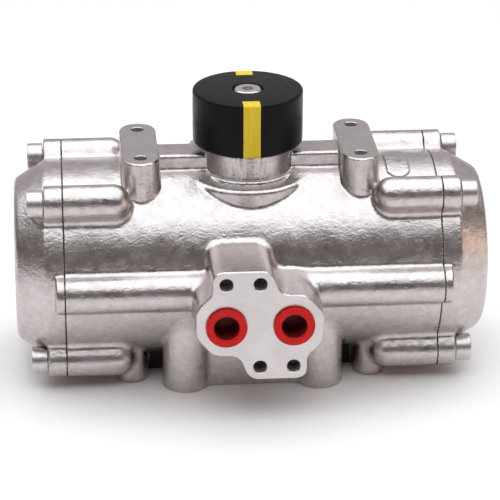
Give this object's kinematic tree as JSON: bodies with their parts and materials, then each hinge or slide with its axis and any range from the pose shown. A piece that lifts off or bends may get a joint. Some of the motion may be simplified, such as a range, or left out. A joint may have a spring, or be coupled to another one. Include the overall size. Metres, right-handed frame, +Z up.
{
  "type": "pneumatic quarter-turn valve actuator",
  "caption": "Double-acting rack-and-pinion pneumatic actuator in cast stainless steel that turns a valve stem a quarter turn, with position indicator.",
  "frame": {"origin": "centre of the bottom flange face, on the pinion axis", "axes": "+X along the cylinder, -Y towards the air-port face, +Z up along the pinion towards the indicator"},
  "size_m": [0.1726, 0.12, 0.1063],
  "materials": {
    "cast_stainless": "bead-blasted investment casting, warm grey, fine orange-peel texture, machined pads smoother",
    "bright_steel": "turned stainless fasteners, satin",
    "shaft_steel": "machined alloy steel, grey",
    "piston_aluminium": "machined, hard-anodised clear",
    "bearing_polymer": "off-white acetal",
    "seal_rubber": "black nitrile rubber",
    "indicator_black": "satin moulded black plastic",
    "indicator_yellow": "yellow moulded plastic, semi-gloss",
    "plug_red": "red polyethylene, semi-matt"
  },
  "bodies": {
    "casing": {"housing": "cast_stainless", "end_cap_left": "cast_stainless", "end_cap_right": "cast_stainless", "cap_screw_left_upper_front": "bright_steel", "cap_screw_left_upper_back": "bright_steel", "cap_screw_left_lower_front": "bright_steel", "cap_screw_left_lower_back": "bright_steel", "cap_screw_right_upper_front": "bright_steel", "cap_screw_right_upper_back": "bright_steel", "cap_screw_right_lower_front": "bright_steel", "cap_screw_right_lower_back": "bright_steel", "stop_nut_closed": "bright_steel", "stop_nut_open": "bright_steel", "thrust_bearing": "bearing_polymer", "cap_seal_left": "seal_rubber", "cap_seal_right": "seal_rubber", "stop_seal_closed": "seal_rubber", "stop_seal_open": "seal_rubber"},
    "drive_shaft": {"pinion": "shaft_steel", "pinion_bush_bottom": "bearing_polymer", "pinion_bush_top": "bearing_polymer", "pinion_o_ring_bottom": "seal_rubber", "pinion_o_ring_top": "seal_rubber", "stop_cam": "shaft_steel", "thrust_washer": "bright_steel", "snap_ring": "shaft_steel", "indicator_cap": "indicator_black", "indicator_insert_front": "indicator_yellow", "indicator_insert_back": "indicator_yellow", "indicator_screw": "bright_steel"},
    "left_piston": {"piston_left": "piston_aluminium", "piston_wear_ring_left": "bearing_polymer", "piston_o_ring_left": "seal_rubber", "rack_guide_left": "bearing_polymer"},
    "right_piston": {"piston_right": "piston_aluminium", "piston_wear_ring_right": "bearing_polymer", "piston_o_ring_right": "seal_rubber", "rack_guide_right": "bearing_polymer"},
    "left_plug": {"port_plug_left": "plug_red"},
    "right_plug": {"port_plug_right": "plug_red"},
    "closed_stop": {"stop_screw_closed": "bright_steel"},
    "open_stop": {"stop_screw_open": "bright_steel"}
  },
  "joints": [
    {"name": "pinion_turn", "type": "hinge", "parent": "casing", "child": "drive_shaft", "pos_m": [0, 0, 0.04175], "axis": [0, 0, 1], "range_deg": [0, 90]},
    {"name": "left_piston_slide", "type": "slide", "parent": "casing", "child": "left_piston", "axis": [-1, 0, 0], "range_m": [0, 0.0213]},
    {"name": "right_piston_slide", "type": "slide", "parent": "casing", "child": "right_piston", "axis": [1, 0, 0], "range_m": [0, 0.0213]},
    {"name": "closed_stop_adjust", "type": "slide", "parent": "casing", "child": "closed_stop", "axis": [0, 1, 0], "range_m": [0, 0.003]},
    {"name": "open_stop_adjust", "type": "slide", "parent": "casing", "child": "open_stop", "axis": [0, 1, 0], "range_m": [0, 0.003]},
    {"name": "left_plug_pull", "type": "slide", "parent": "casing", "child": "left_plug", "axis": [0, -1, 0], "range_m": [0, 0.012]},
    {"name": "right_plug_pull", "type": "slide", "parent": "casing", "child": "right_plug", "axis": [0, -1, 0], "range_m": [0, 0.012]}
  ],
  "couplings": [
    {"joint": "left_piston_slide", "follows": "pinion_turn", "m_per_rad": 0.0135},
    {"joint": "right_piston_slide", "follows": "pinion_turn", "m_per_rad": 0.0135}
  ]
}
